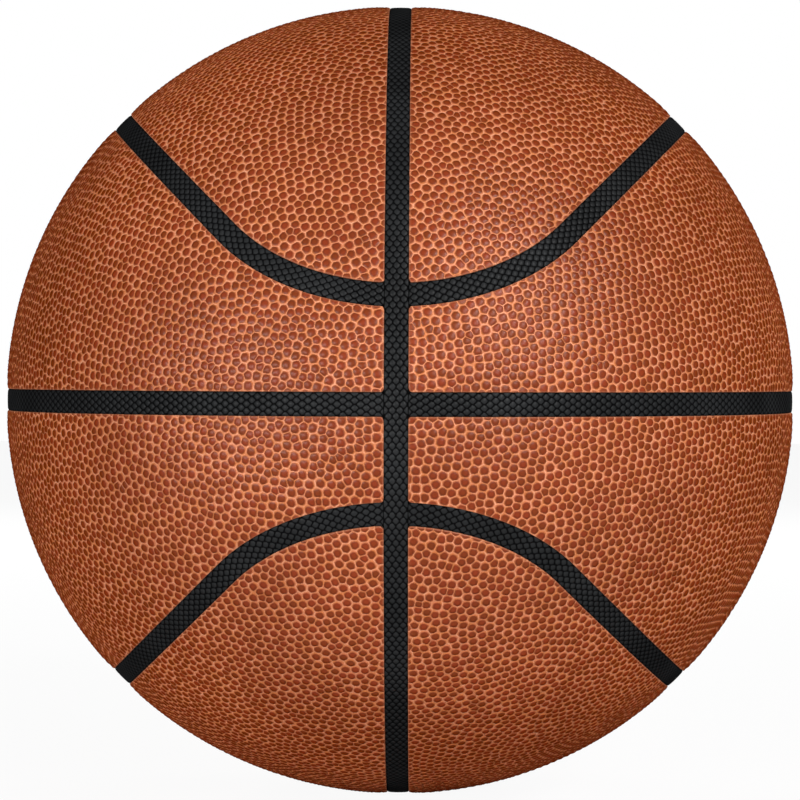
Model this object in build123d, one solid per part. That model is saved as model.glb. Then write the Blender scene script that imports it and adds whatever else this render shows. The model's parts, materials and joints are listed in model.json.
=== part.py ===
from build123d import *
from math import asin, atan2, cos, degrees, pi, sin, radians
import os

# A composite-leather basketball, in millimetres. The origin is the ball's centre, +Z is up, and -Y is the front,
# where the vertical and the middle seam cross. From outside in: eight cover panels with seam strips between them,
# a sponge backing under each panel, a rubber carcass, a thread winding and a bladder with its valve.

# Ball and layers
BALL_DIAMETER = 240.0
COVER_THICKNESS = 1.2
BACKING_THICKNESS = 1.4
CARCASS_THICKNESS = 0.7
WINDING_THICKNESS = 0.8
BLADDER_THICKNESS = 0.7
GLUE_LINE = 0.1  # left free between bonded layers

# Seams: two full circles, vertical and middle, and two closed curves, upper and lower
CHANNEL_WIDTH = 6.5  # between the walls of neighbouring panels
PANEL_CORNER_ROUND = 1.5
PANEL_EDGE_ROUND = 0.8
STRIP_SIDE_GAP = 0.25  # from a strip to the panel beside it
STRIP_BUTT_GAP = 0.3  # from the vertical strip to the strips that end at it
STRIP_RECESS = 0.4  # strip surface below the panels
FRONT_SEAM_ANGLE = 14.0  # elevation of a curved seam at the front and the back
SIDE_SEAM_ANGLE = 45.0  # and at the left and right side

# Valve: a soft core with a needle bore, which slides out of a rubber housing bonded inside the bladder
VALVE_AZIMUTH = 135.0  # from +X towards +Y: at the back, on the left
VALVE_ELEVATION = 15.0
NEEDLE_BORE_DIAMETER = 2.0
NEEDLE_BORE_FLOOR = 2.5  # closed rubber left at the core's tip
NEEDLE_FUNNEL_FLARE = 0.7  # how much wider the bore's mouth is, all round
NEEDLE_FUNNEL_DEPTH = 0.5
CORE_SHANK_WALL = 1.3  # rubber round the bore
CORE_HEAD_LIP = 1.2  # the head's reach past the shank
CORE_HEAD_HEIGHT = 1.8
CORE_RECESS = 0.1  # top of the head below the end of the neck
CORE_TIP_LENGTH = 1.5  # shank past the barrel's inner end
CORE_TIP_CHAMFER = 0.6
CORE_CLEARANCE = 0.15  # round the core and under its head
HOUSING_NECK_WALL = 0.85  # round the core's head
HOUSING_RECESS = 0.4  # end of the neck below the panels
HOUSING_HOLE_GAP = 0.2  # round the neck, in every layer that it passes
HOUSING_BARREL_WALL = 3.5  # round the core's shank
HOUSING_BARREL_LENGTH = 9.0  # inwards from the flange
HOUSING_FLANGE_REACH = 5.0  # past the barrel
HOUSING_FLANGE_THICKNESS = 1.6

CUT_OVERRUN = 1.0  # how far a cutter passes the skin that it cuts
RIM_LAND = 0.1  # least height of a panel's wall under its rolled rim
TOLERANCE = 0.001  # for telling which edges lie on a wall or on the ball's surface

# Radii of the layers
cover_out = BALL_DIAMETER / 2
cover_in = cover_out - COVER_THICKNESS
backing_out = cover_in - GLUE_LINE
backing_in = backing_out - BACKING_THICKNESS
carcass_out = backing_in - GLUE_LINE
carcass_in = carcass_out - CARCASS_THICKNESS
winding_out = carcass_in - GLUE_LINE
winding_in = winding_out - WINDING_THICKNESS
bladder_out = winding_in - GLUE_LINE
bladder_in = bladder_out - BLADDER_THICKNESS
strip_out = cover_out - STRIP_RECESS
strip_in = carcass_out + GLUE_LINE

strip_width = CHANNEL_WIDTH - 2 * STRIP_SIDE_GAP

QUARTER = pi / 2
CENTRE = Vector(0, 0, 0)


def polar(radius, angle):
    """A point of a profile: away from the axis, then along it, at this angle from the axis."""
    return Vector(radius * sin(angle), radius * cos(angle))


def polar_arc(radius, start, end):
    """An arc of a profile about the ball's centre, between two angles from the axis."""
    return ThreePointArc(polar(radius, start), polar(radius, (start + end) / 2), polar(radius, end))


def channel_profile(angle):
    """The section of a channel: two walls square to the ball's surface, from under the backings to outside."""
    outwards, across = polar(1, angle), polar(1, angle + QUARTER)
    low, high = outwards * (backing_in - CUT_OVERRUN), outwards * (cover_out + CUT_OVERRUN)
    half = across * (CHANNEL_WIDTH / 2)
    return make_face(Polyline(low - half, high - half, high + half, low + half, close=True).edges())


def strip_profile(angle):
    """The section of a seam strip: walls that follow the channel's, between two arcs about the ball's centre."""
    inner, outer = asin(strip_width / 2 / strip_in), asin(strip_width / 2 / strip_out)
    return make_face([
        polar_arc(strip_in, angle - inner, angle + inner),
        Line(polar(strip_in, angle + inner), polar(strip_out, angle + outer)),
        polar_arc(strip_out, angle + outer, angle - outer),
        Line(polar(strip_out, angle - outer), polar(strip_in, angle - inner)),
    ])


def half_plane(axis, direction):
    """The plane of a profile: its X points from the axis towards the direction, its Y along the axis."""
    across = (direction - axis * direction.dot(axis)).normalized()
    return Plane(origin=CENTRE, x_dir=across, z_dir=across.cross(axis))


def turned(profile, axis, start, sweep=360.0):
    """Carry a profile round an axis through the centre, from the half plane that holds the start."""
    return revolve(half_plane(axis, start) * profile, Axis(CENTRE, axis), sweep)


def swept_angle(axis, start, end):
    """Degrees from the half plane that holds the start to the one that holds the end."""
    a = half_plane(axis, start).x_dir
    b = half_plane(axis, end).x_dir
    return degrees(atan2(axis.dot(a.cross(b)), a.dot(b)))


def mirrored(vector, plane_normal):
    return vector - plane_normal * (2 * vector.dot(plane_normal))


# The upper curved seam: a turn of small radius at the front and the back, and a great circle on either side that
# passes the side at SIDE_SEAM_ANGLE. The turns meet the great circles smoothly, which sets their radius.
X, Y, Z = Vector(1, 0, 0), Vector(0, 1, 0), Vector(0, 0, 1)
front_angle, side_angle = radians(FRONT_SEAM_ANGLE), radians(SIDE_SEAM_ANGLE)
turn_radius = atan2(cos(side_angle) * sin(front_angle), 1 - cos(side_angle) * cos(front_angle))
turn_axis_front = Vector(0, -cos(front_angle + turn_radius), sin(front_angle + turn_radius))
turn_axis_back = mirrored(turn_axis_front, Y)
side_axis_right = Vector(-sin(side_angle), 0, cos(side_angle))
side_axis_left = mirrored(side_axis_right, X)
away = (turn_axis_front * sin(turn_radius) - side_axis_right).normalized()
join_front_right = turn_axis_front * cos(turn_radius) + away * sin(turn_radius)
join_front_left = mirrored(join_front_right, X)
join_back_right = mirrored(join_front_right, Y)
join_back_left = mirrored(join_front_left, Y)
UPPER_SEAM_ARCS = [
    (turn_axis_front, turn_radius, join_front_left, join_front_right),
    (side_axis_right, QUARTER, join_front_right, join_back_right),
    (turn_axis_back, turn_radius, join_back_right, join_back_left),
    (side_axis_left, QUARTER, join_back_left, join_front_left),
]


def upper_seam(profile_at):
    """A section carried round the closed upper seam, one arc after the other."""
    arcs = [turned(profile_at(angle), axis, start, swept_angle(axis, start, end))
            for axis, angle, start, end in UPPER_SEAM_ARCS]
    return arcs[0].fuse(*arcs[1:])


def quarter_shell(outer, inner):
    """A hollow sphere's upper left quarter, between the planes of the middle and the vertical seam."""
    section = make_face([
        polar_arc(outer, 0, pi),
        Line(polar(outer, pi), polar(inner, pi)),
        polar_arc(inner, pi, 0),
        Line(polar(inner, 0), polar(outer, 0)),
    ])
    return turned(section, Y, -X, degrees(QUARTER))


# Valve axis, and profiles turned about it: distance from the axis, then distance from the ball's centre
valve_direction = Vector(1, 0, 0).rotate(Axis.Y, -VALVE_ELEVATION).rotate(Axis.Z, VALVE_AZIMUTH)
bore_radius = NEEDLE_BORE_DIAMETER / 2
shank_radius = bore_radius + CORE_SHANK_WALL
head_radius = shank_radius + CORE_HEAD_LIP
shank_hole_radius = shank_radius + CORE_CLEARANCE
head_hole_radius = head_radius + CORE_CLEARANCE
neck_radius = head_hole_radius + HOUSING_NECK_WALL
barrel_radius = shank_hole_radius + HOUSING_BARREL_WALL
flange_radius = barrel_radius + HOUSING_FLANGE_REACH
layer_hole_radius = neck_radius + HOUSING_HOLE_GAP
neck_end = cover_out - HOUSING_RECESS
flange_out = bladder_in - GLUE_LINE
flange_in = flange_out - HOUSING_FLANGE_THICKNESS
barrel_end = flange_in - HOUSING_BARREL_LENGTH
core_top = neck_end - CORE_RECESS
core_seat = core_top - CORE_HEAD_HEIGHT
core_tip = barrel_end - CORE_TIP_LENGTH


def about_valve(edges):
    return turned(make_face(edges), valve_direction, Z)


def valve_polygon(*points):
    """A straight-sided profile turned about the valve's axis, from (radius, height) pairs."""
    return about_valve(Polyline([Vector(*p) for p in points], close=True).edges())


def valve_hole():
    """The hole that the neck passes, through every layer."""
    low, high = bladder_in - CUT_OVERRUN, cover_out + CUT_OVERRUN
    return valve_polygon((0, low), (layer_hole_radius, low), (layer_hole_radius, high), (0, high))


def valve_housing():
    """A mushroom: a flange that follows the bladder's inner wall, a barrel inside and a neck to the surface."""
    flange_edge = asin(flange_radius / flange_out)
    flange = about_valve([
        Line(polar(flange_in, 0), polar(flange_out, 0)),
        polar_arc(flange_out, 0, flange_edge),
        Line(polar(flange_out, flange_edge), polar(flange_in, flange_edge)),
        polar_arc(flange_in, flange_edge, 0),
    ])
    flange_middle = (flange_out + flange_in) / 2
    stem = valve_polygon(
        (0, barrel_end), (barrel_radius, barrel_end), (barrel_radius, flange_middle),
        (neck_radius, flange_middle), (neck_radius, neck_end), (0, neck_end),
    )
    seat = core_seat - CORE_CLEARANCE
    low, high = barrel_end - CUT_OVERRUN, neck_end + CUT_OVERRUN
    core_hole = valve_polygon(
        (0, low), (shank_hole_radius, low), (shank_hole_radius, seat),
        (head_hole_radius, seat), (head_hole_radius, high), (0, high),
    )
    return flange + stem - core_hole


def valve_core():
    """A headed plug with a blind bore and a funnel for the needle."""
    bore_floor = core_tip + NEEDLE_BORE_FLOOR
    return valve_polygon(
        (0, core_tip), (shank_radius - CORE_TIP_CHAMFER, core_tip), (shank_radius, core_tip + CORE_TIP_CHAMFER),
        (shank_radius, core_seat), (head_radius, core_seat), (head_radius, core_top),
        (bore_radius + NEEDLE_FUNNEL_FLARE, core_top), (bore_radius, core_top - NEEDLE_FUNNEL_DEPTH),
        (bore_radius, bore_floor), (0, bore_floor),
    )


VALVE_HOLE = valve_hole()
QUARTER_CHANNELS = [
    turned(channel_profile(QUARTER), X, Z),
    turned(channel_profile(QUARTER), Z, X),
    upper_seam(channel_profile),
]
SIDES = {"left": -1, "right": 1}


def with_corners_rounded(panel):
    """Round a panel in plan, where its channels meet at the vertical seam."""
    at_seam = CHANNEL_WIDTH / 2
    corners = [e for e in panel.edges() if all(abs(abs((e @ t).X) - at_seam) < TOLERANCE for t in (0, 1))
               and abs((e @ 1).length - (e @ 0).length) > TOLERANCE]
    return panel.fillet(PANEL_CORNER_ROUND, corners)


def with_rim_rolled(panel):
    """Roll a cover panel's outer rim, and the mouth of its valve hole, down towards the channel."""
    rim = [e for e in panel.edges() if all(abs((e @ t).length - cover_out) < TOLERANCE for t in (0, 0.5, 1))]
    return panel.fillet(min(PANEL_EDGE_ROUND, COVER_THICKNESS - RIM_LAND), rim)


def plain_panels(outer, inner):
    """A layer cut along the seams into eight panels, with the valve's hole: panel name to solid."""
    quarter = quarter_shell(outer, inner)
    for channel in QUARTER_CHANNELS:
        quarter = quarter - channel
    upper, top = [with_corners_rounded(panel) for panel in quarter.solids().sort_by(Axis.Z)]
    left = {"top": top, "upper": upper, "lower": upper.mirror(Plane.XY), "bottom": top.mirror(Plane.XY)}
    return {
        f"{row}_{side}": (panel if side == "left" else panel.mirror(Plane.YZ)) - VALVE_HOLE
        for side in SIDES
        for row, panel in left.items()
    }


def by_side(ring):
    """A closed strip, cut where it butts against the vertical strip: side to solid."""
    passage = Box(strip_width + 2 * STRIP_BUTT_GAP, BALL_DIAMETER, BALL_DIAMETER)
    halves = (ring - passage).solids()
    return {side: halves.filter_by(lambda s: s.center().X * sign > 0)[0] for side, sign in SIDES.items()}


covers, backings = plain_panels(cover_out, cover_in), plain_panels(backing_out, backing_in)
pieces = {f"cover_panel_{name}": with_rim_rolled(panel) for name, panel in covers.items()}
pieces |= {f"panel_backing_{name}": panel for name, panel in backings.items()}

upper_ring = upper_seam(strip_profile)
RINGS = {
    "upper": upper_ring,
    "middle": turned(strip_profile(QUARTER), Z, X),
    "lower": upper_ring.mirror(Plane.XY),
}
pieces["seam_strip_vertical"] = turned(strip_profile(QUARTER), X, Z)
for seam, ring in RINGS.items():
    pieces |= {f"seam_strip_{seam}_{side}": solid for side, solid in by_side(ring).items()}

INNER_LAYERS = {
    "carcass": (carcass_out, carcass_in),
    "thread_winding": (winding_out, winding_in),
    "bladder": (bladder_out, bladder_in),
}
for layer, (outer, inner) in INNER_LAYERS.items():
    pieces[layer] = Sphere(outer) - Sphere(inner) - VALVE_HOLE
pieces["valve_housing"] = valve_housing()
pieces["valve_core"] = valve_core()

os.makedirs("parts", exist_ok=True)
for name, piece in pieces.items():
    export_step(piece, f"parts/{name}.step")
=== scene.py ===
"""Looks of a composite-leather basketball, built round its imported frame.

Lengths are metres in the part's own frame: the origin is the ball's centre, +Z is up and -Y is the front,
where the vertical and the middle seam cross. Every visible skin is a relief of small cells, pebbles on the
cover panels and scales on the seam strips, worked out as whole arrays in a flat chart and then carried onto
the ball.
"""
import json
from math import atan2, cos, pi, radians, sin, sqrt

import bpy
import numpy as np
from mathutils import Matrix, Vector
from mathutils.geometry import delaunay_2d_cdt


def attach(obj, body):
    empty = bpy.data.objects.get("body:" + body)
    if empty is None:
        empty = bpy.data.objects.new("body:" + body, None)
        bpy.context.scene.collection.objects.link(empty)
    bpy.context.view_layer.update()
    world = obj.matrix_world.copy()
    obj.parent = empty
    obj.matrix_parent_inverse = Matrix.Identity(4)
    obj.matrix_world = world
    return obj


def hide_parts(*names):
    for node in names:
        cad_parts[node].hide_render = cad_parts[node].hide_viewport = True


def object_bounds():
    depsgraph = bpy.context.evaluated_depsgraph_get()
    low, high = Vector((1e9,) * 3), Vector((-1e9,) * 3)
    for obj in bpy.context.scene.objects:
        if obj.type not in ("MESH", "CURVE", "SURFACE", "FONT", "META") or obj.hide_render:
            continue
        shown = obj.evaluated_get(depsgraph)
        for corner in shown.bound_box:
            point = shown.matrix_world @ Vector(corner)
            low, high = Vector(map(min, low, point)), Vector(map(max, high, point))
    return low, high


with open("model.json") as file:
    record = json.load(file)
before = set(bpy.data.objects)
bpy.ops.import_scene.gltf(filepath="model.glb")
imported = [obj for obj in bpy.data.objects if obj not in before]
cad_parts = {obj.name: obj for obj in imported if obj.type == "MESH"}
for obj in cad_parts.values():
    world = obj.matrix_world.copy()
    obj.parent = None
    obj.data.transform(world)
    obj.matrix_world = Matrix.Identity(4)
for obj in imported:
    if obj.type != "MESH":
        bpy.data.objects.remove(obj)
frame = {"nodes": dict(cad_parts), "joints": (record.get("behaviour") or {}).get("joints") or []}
CAD_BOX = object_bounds()

bl_info = {
    "name": "Basketball looks",
    "version": (1, 0, 0),
    "blender": (4, 5, 0),
    "location": "View3D > Sidebar > Basketball",
    "description": "Builds pebbled panels, seam strips, finishes and a stage round a packed basketball",
    "category": "Add Mesh",
}

MM = 0.001
X, Y, Z = np.eye(3)
ROWS = {"top": 1, "upper": 1, "lower": -1, "bottom": -1}
SIDES = {"left": -1, "right": 1}

# Relief
RAISED_EDGE = 0.5  # ring value on the edge of a cell's raised middle
RAISED_LIMIT = 0.87  # the farthest that a raised middle reaches, on the way to its cell's border
SHOULDER = 0.36  # how far a pebble's edge lies below its middle, as a share of the pebble's height
CELL_SHAPED = 0.3  # a pebble's outline, from a circle to the shape of its cell
CELL_SHARE = 0.84  # where a pebble shaped like its cell ends, on the way to its border
FLANK_WEIGHT = 0.3  # of a pebble's flanks in the normals round its top, so that the top keeps its gloss
SCALE_DOME = 0.15  # how far a scale's edge lies below its middle, as a share of the scale's height
CORNER_BLEND = 0.7  # a cell's corner, from the mean of three cells' centres to the centre of their circle
LEAST_WEIGHT = 0.12  # of each of the three centres in that corner
PEBBLE_SHAKE = 0.18  # in pitches, as are the next three
PEBBLE_MARGIN = 2.2  # how far past a panel's edge pebbles are laid
SETTLING_MARGIN = 1.0  # how far past the edge they settle
LONGEST_SIDE = 2.5  # of a triangle between pebbles
SETTLINGS = 6
PLAIN_TONE = 0.5  # of faces that belong to no pebble
PRESSED_LEVEL = 0.75  # of pebbles pressed flat, as a share of the pebbles' height
PRESSED_FULL = 0.2  # share of the pressed band that is wholly flat
PRESS_WAVES = 40.0  # waves in the band's width, in radians over the ball's radius
SCALE_FADE = 0.5 * MM  # from a strip's edge to where its scales have their full height
STRIP_FIT = 0.05 * MM  # gap between a strip, swollen into its channel, and each wall
RIM_TURNS = (22.5, 45, 67.5, 90)  # degrees
UNDER_STEP = 9 * MM  # between the places that fill a panel's underside
NEWTON_STEPS = 2
SNAP = 0.04 * MM  # corners this near to a cut are moved onto it
WELD = 0.001 * MM  # corners this near to each other are one
WHOLE_HULL, INSIDE_WITH_HOLES = 0, 2  # what a Delaunay triangulation gives
TOUCHING = 1e-7  # millimetres, in a Delaunay triangulation

# Bake map
BAKE_MAP = "OFBake"
BAKE_MARGIN = 0.008
UNDER_BOX = 0.06  # side of the corner that holds a panel's underside
STRIP_ROW_LENGTH = 75 * MM
STRIP_ROW_START = 0.03

# Stage
LIGHT_DISTANCE = 1.6
LIGHTS = {  # turn to the right of the front and rise in degrees, side in metres, and the setting of the power
    "key_light": (38, 32, 0.3, "key_power"),
    "left_light": (-48, 2, 0.24, "left_power"),
    "front_right_light": (24, 15, 0.7, "front_power"),
    "front_left_light": (-28, 2, 0.5, "front_power"),
    "back_right_light": (150, 20, 0.5, "back_power"),
    "back_left_light": (-150, 20, 0.5, "back_power"),
}
FLOOR_REACH = 4.0
FLOOR_WHITE = 0.9  # share of plain white in the floor that is seen; the rest is its own light and shade
FLOOR_GLOW = 1.04
SENSOR_WIDTH = 36.0


def srgb(red, green, blue):
    """A colour as it shows on a screen, 0 to 255, as linear light."""
    shown = np.array([red, green, blue]) / 255
    linear = np.where(shown <= 0.04045, shown / 12.92, ((shown + 0.055) / 1.055) ** 2.4)
    return tuple(float(value) for value in linear)


def unit(vectors):
    return vectors / np.linalg.norm(vectors, axis=-1, keepdims=True)


def lengths(vectors):
    return np.linalg.norm(vectors, axis=-1)


def node_points(name):
    """The corners of a node's mesh."""
    mesh = frame["nodes"][name].data
    flat = np.empty(3 * len(mesh.vertices), np.float32)
    mesh.vertices.foreach_get("co", flat)
    return flat.reshape(-1, 3).astype(float)


# Sizes read from the frame
PANEL_POINTS = node_points("cover_panel_upper_left")
RING_POINTS = node_points("seam_strip_vertical")
BALL_RADIUS, COVER_INSIDE = lengths(PANEL_POINTS).max(), lengths(PANEL_POINTS).min()
STRIP_RADIUS, STRIP_INSIDE = lengths(RING_POINTS).max(), lengths(RING_POINTS).min()
CHANNEL_HALF = np.abs(PANEL_POINTS[:, 0]).min()
STRIP_HALF = CHANNEL_HALF - STRIP_FIT
STRIP_BUTT = np.abs(node_points("seam_strip_middle_right")[:, 0]).min()
VALVE_AXIS = unit(np.array(frame["joints"][0]["axis"], float))
VALVE_HOLE = lengths(np.cross(PANEL_POINTS, VALVE_AXIS)).min()

# The upper seam: a turn of small radius at the front and the back, joined by a great circle over each side
FRONT_SEAM_ANGLE = radians(14)
SIDE_SEAM_ANGLE = radians(45)
PANEL_CORNER_ROUND = 0.9 * MM
TURN = atan2(cos(SIDE_SEAM_ANGLE) * sin(FRONT_SEAM_ANGLE), 1 - cos(SIDE_SEAM_ANGLE) * cos(FRONT_SEAM_ANGLE))
SEAM_FRONT = np.array([0, -cos(FRONT_SEAM_ANGLE), sin(FRONT_SEAM_ANGLE)])
TURN_AXIS = np.array([0, -cos(FRONT_SEAM_ANGLE + TURN), sin(FRONT_SEAM_ANGLE + TURN)])
SIDE_AXIS = np.array([-sin(SIDE_SEAM_ANGLE), 0, cos(SIDE_SEAM_ANGLE)])
GOLDEN_ANGLE = pi * (3 - sqrt(5))
FRONT_TO_BACK = np.array([1, -1, 1])


# Distances on the ball

def smooth(low, high, values):
    """0 below low, 1 above high, and between them the cubic step 3t^2 - 2t^3."""
    t = np.clip((values - low) / (high - low), 0, 1)
    return t * t * (3 - 2 * t)


def rounded_least(gaps, radius):
    """The least of several distances to an edge, with the corners between edges rounded.

    Where every gap is over the radius it is the least gap; elsewhere it is the radius less the length of the
    vector of what each gap lacks to the radius.
    """
    gaps = np.stack(gaps)
    return np.maximum(gaps, radius).min(0) - np.sqrt((np.maximum(radius - gaps, 0) ** 2).sum(0))


def above_upper_seam(directions):
    """How far points of the ball lie above the upper seam's middle line.

    All quarters are folded onto the front right upper one. There the distance is the ball's radius times the
    sine of the angle to the turn's circle or, past the join, to the side's great circle.
    """
    folded = np.abs(directions) * FRONT_TO_BACK
    turn = TURN - np.arccos(np.clip(folded @ TURN_AXIS, -1, 1))
    side = np.arcsin(np.clip(folded @ SIDE_AXIS, -1, 1))
    join = np.cross(TURN_AXIS, SIDE_AXIS)
    at_turn = (folded @ join) * np.sign(SEAM_FRONT @ join) > 0
    return BALL_RADIUS * np.sin(np.where(at_turn, turn, side))


def panel_edge_distance(directions, row, side):
    """Distance inwards from a panel's edge: the least of those to its channels, and to the valve's hole."""
    upright = BALL_RADIUS * SIDES[side] * directions[..., 0] - CHANNEL_HALF
    level = BALL_RADIUS * ROWS[row] * directions[..., 2] - CHANNEL_HALF
    curved = above_upper_seam(directions) * (1 if row in ("top", "bottom") else -1) - CHANNEL_HALF
    inside = rounded_least([upright, level, curved], PANEL_CORNER_ROUND)
    if (row, side) == ("upper", "left"):
        hole = BALL_RADIUS * lengths(np.cross(directions, VALVE_AXIS)) - VALVE_HOLE
        inside = np.where(directions @ VALVE_AXIS > 0, np.minimum(inside, hole), inside)
    return inside


class BallChart:
    """A stereographic chart of the ball, which keeps angles and circles, and lengths at its centre."""

    def __init__(self, centre, along):
        self.centre, self.along = centre, along
        self.across = np.cross(centre, along)

    def flat(self, directions):
        """Places of directions: twice the radius times the sideways parts, over 1 plus the outward part."""
        sideways = np.stack([directions @ self.along, directions @ self.across], -1)
        return 2 * BALL_RADIUS * sideways / (1 + directions @ self.centre)[..., None]

    def direction(self, places):
        """The way back from places to directions.

        With q the square of a place over twice the radius, it is 1 - q of the centre's direction and the
        place over the radius sideways, all over 1 + q.
        """
        reach = (places ** 2).sum(-1, keepdims=True) / (2 * BALL_RADIUS) ** 2
        sideways = (places[..., :1] * self.along + places[..., 1:] * self.across) / BALL_RADIUS
        return ((1 - reach) * self.centre + sideways) / (1 + reach)


class SeamChart:
    """A strip's chart: length along its middle line, a chain of arcs on the ball, and width across it."""

    def __init__(self, arcs):
        self.arcs, self.length = [], 0.0
        for axis, angle, start, sweep in arcs:
            away = unit(start - axis * (start @ axis))
            self.arcs.append((self.length, axis, angle, away, np.cross(axis, away)))
            self.length += STRIP_RADIUS * sin(angle) * sweep

    def direction(self, places):
        """On an arc: cos(polar) axis + sin(polar) (cos(turn) start + sin(turn) onward).

        Width lessens the polar angle.
        """
        along, across = places[..., :1], places[..., 1:]
        found = np.zeros(places.shape[:-1] + (3,))
        for begin, axis, angle, away, onward in self.arcs:
            turn = (along - begin) / (STRIP_RADIUS * sin(angle))
            polar = angle - across / STRIP_RADIUS
            here = np.cos(polar) * axis + np.sin(polar) * (np.cos(turn) * away + np.sin(turn) * onward)
            found = np.where((along >= begin) | (begin == 0), here, found)
        return found


def swept(axis, start, end):
    """The angle about an axis from one direction to another."""
    a, b = (unit(v - axis * (v @ axis)) for v in (start, end))
    return atan2(axis @ np.cross(a, b), a @ b)


def curved_seam():
    """The right half of the upper seam, from the front to the back: turn, great circle, turn."""
    away = unit(TURN_AXIS * sin(TURN) - SIDE_AXIS)
    join = TURN_AXIS * cos(TURN) + away * sin(TURN)
    back_join, back_axis, seam_back = (place * FRONT_TO_BACK for place in (join, TURN_AXIS, SEAM_FRONT))
    return SeamChart([
        (TURN_AXIS, TURN, SEAM_FRONT, swept(TURN_AXIS, SEAM_FRONT, join)),
        (SIDE_AXIS, pi / 2, join, swept(SIDE_AXIS, join, back_join)),
        (back_axis, TURN, back_join, swept(back_axis, back_join, seam_back)),
    ])


# Relief of cells in a flat chart: loose triangles, whose corners are a place and a ring value

def cell_relief(corners, share):
    """Cut triangles between cell centres into cells with raised middles; say which corner's cell each is in.

    Each triangle holds a corner of three cells, so it is cut through its middle and the middles of its sides
    into six wedges, two for each cell. The middle lies between the corners' mean and the centre of their
    circle, whose weights are each opposite side squared times what the other two squares have over it. The
    raised middle ends at a share of the way from the centre to the border. The ring value is 0 at a cell's
    centre and 1 on its border.
    """
    opposite = ((np.roll(corners, 1, 1) - np.roll(corners, -1, 1)) ** 2).sum(-1)
    weight = opposite * (opposite.sum(1, keepdims=True) - 2 * opposite)
    weight = CORNER_BLEND * weight / weight.sum(1, keepdims=True) + (1 - CORNER_BLEND) / 3
    weight = np.maximum(weight, LEAST_WEIGHT)
    middle = ((weight / weight.sum(1, keepdims=True))[..., None] * corners).sum(1)
    triangles, levels = [], []
    for k in range(3):
        centre = corners[:, k]
        after, before = ((centre + corners[:, (k + step) % 3]) / 2 for step in (1, 2))
        for start, end in ((after, middle), (middle, before)):
            ways = [place - centre for place in (start, end)]
            near_start, near_end = (centre + way * share(way, k) for way in ways)
            triangles += [(centre, near_start, near_end), (near_start, start, end)]
            levels += [(0, RAISED_EDGE, RAISED_EDGE), (RAISED_EDGE, 1, 1)]
            triangles.append((near_start, end, near_end))
            levels.append((RAISED_EDGE, 1, RAISED_EDGE))
    places = np.stack([np.stack(triangle, 1) for triangle in triangles])
    level = np.repeat(np.array(levels)[:, None, :, None], len(corners), 1)
    owner = np.repeat(np.arange(3), len(triangles) // 3)
    return np.concatenate([places, level], -1).reshape(-1, 3, 3), owner


def clip(soup, inside, *marks):
    """Keep the part of each triangle where a value at its corners is positive, cut along the zero line."""
    positive = inside > 0
    count = positive.sum(1)
    whole = count == 3
    kept, kept_marks = [soup[whole]], [[mark[whole] for mark in marks]]
    for number, lone in ((1, positive.argmax(1)), (2, positive.argmin(1))):
        rows = np.flatnonzero(count == number)
        turn = (lone[rows, None] + np.arange(3)) % 3
        a, b, c = np.moveaxis(np.take_along_axis(soup[rows], turn[..., None], 1), 1, 0)
        at_a, at_b, at_c = np.moveaxis(np.take_along_axis(inside[rows], turn, 1), 1, 0)[..., None]
        ab, ac = a + (b - a) * at_a / (at_a - at_b), a + (c - a) * at_a / (at_a - at_c)
        for piece in [(a, ab, ac)] if number == 1 else [(ab, b, c), (ab, c, ac)]:
            kept.append(np.stack(piece, 1))
            kept_marks.append([mark[rows] for mark in marks])
    return (np.concatenate(kept), *(np.concatenate(mark) for mark in zip(*kept_marks)))


def weld(soup, period):
    """Join equal corners of loose triangles: the corners, the triangles as indices, and which ones stay."""
    flat = soup.reshape(-1, 3)
    if period:
        flat = np.where((flat[:, :1] > period - WELD) & np.array([True, False, False]), 0, flat)
    keys = np.round(flat[:, :2] / WELD).astype(np.int64)
    keys -= keys.min(0)
    codes = keys @ np.array([keys[:, 1].max() + 1, 1])
    _, first, index = np.unique(codes, return_index=True, return_inverse=True)
    triangles = index.reshape(-1, 3)
    whole = (triangles != np.roll(triangles, 1, 1)).all(1)
    return flat[first], triangles[whole], whole


def border_edges(triangles):
    """The directed edges that only one triangle has."""
    edges = np.concatenate([triangles[:, [0, 1]], triangles[:, [1, 2]], triangles[:, [2, 0]]])
    code = np.sort(edges, 1) @ np.array([triangles.max() + 1, 1])
    _, first, count = np.unique(code, return_index=True, return_counts=True)
    return edges[first[count == 1]]


def hole_corners(places, edges):
    """Which corners of a border lie round a hole: the directed edges of their loop run clockwise.

    Each corner takes the lowest number on its loop, looking twice as far ahead each time. A loop's turn is
    the sum of its edges' cross products, twice its area.
    """
    ahead = np.empty(len(places), int)
    ahead[edges[:, 0]] = edges[:, 1]
    loop = np.arange(len(places))
    for _ in range(len(places).bit_length()):
        loop = np.minimum(loop, loop[ahead])
        ahead = ahead[ahead]
    start, end = np.moveaxis(places[edges], 1, 0)
    cross = start[:, 0] * end[:, 1] - start[:, 1] * end[:, 0]
    turn = np.bincount(loop[edges[:, 0]], cross, len(places))
    return turn[loop] < 0


def flat_triangles(places, edges=()):
    """Delaunay triangles of places in a chart, turned to run anticlockwise; given edges bound them."""
    points = [Vector(place) for place in (places / MM).tolist()]
    edges = [tuple(edge) for edge in edges]
    bounded = INSIDE_WITH_HOLES if edges else WHOLE_HULL
    _, _, faces, sources, _, _ = delaunay_2d_cdt(points, edges, [], bounded, TOUCHING)
    triangles = np.array([found[0] for found in sources])[np.array(faces)]
    a, b, c = np.moveaxis(places[triangles], 1, 0)
    clockwise = (b - a)[:, 0] * (c - a)[:, 1] < (b - a)[:, 1] * (c - a)[:, 0]
    return np.where(clockwise[:, None], triangles[:, ::-1], triangles)


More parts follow.
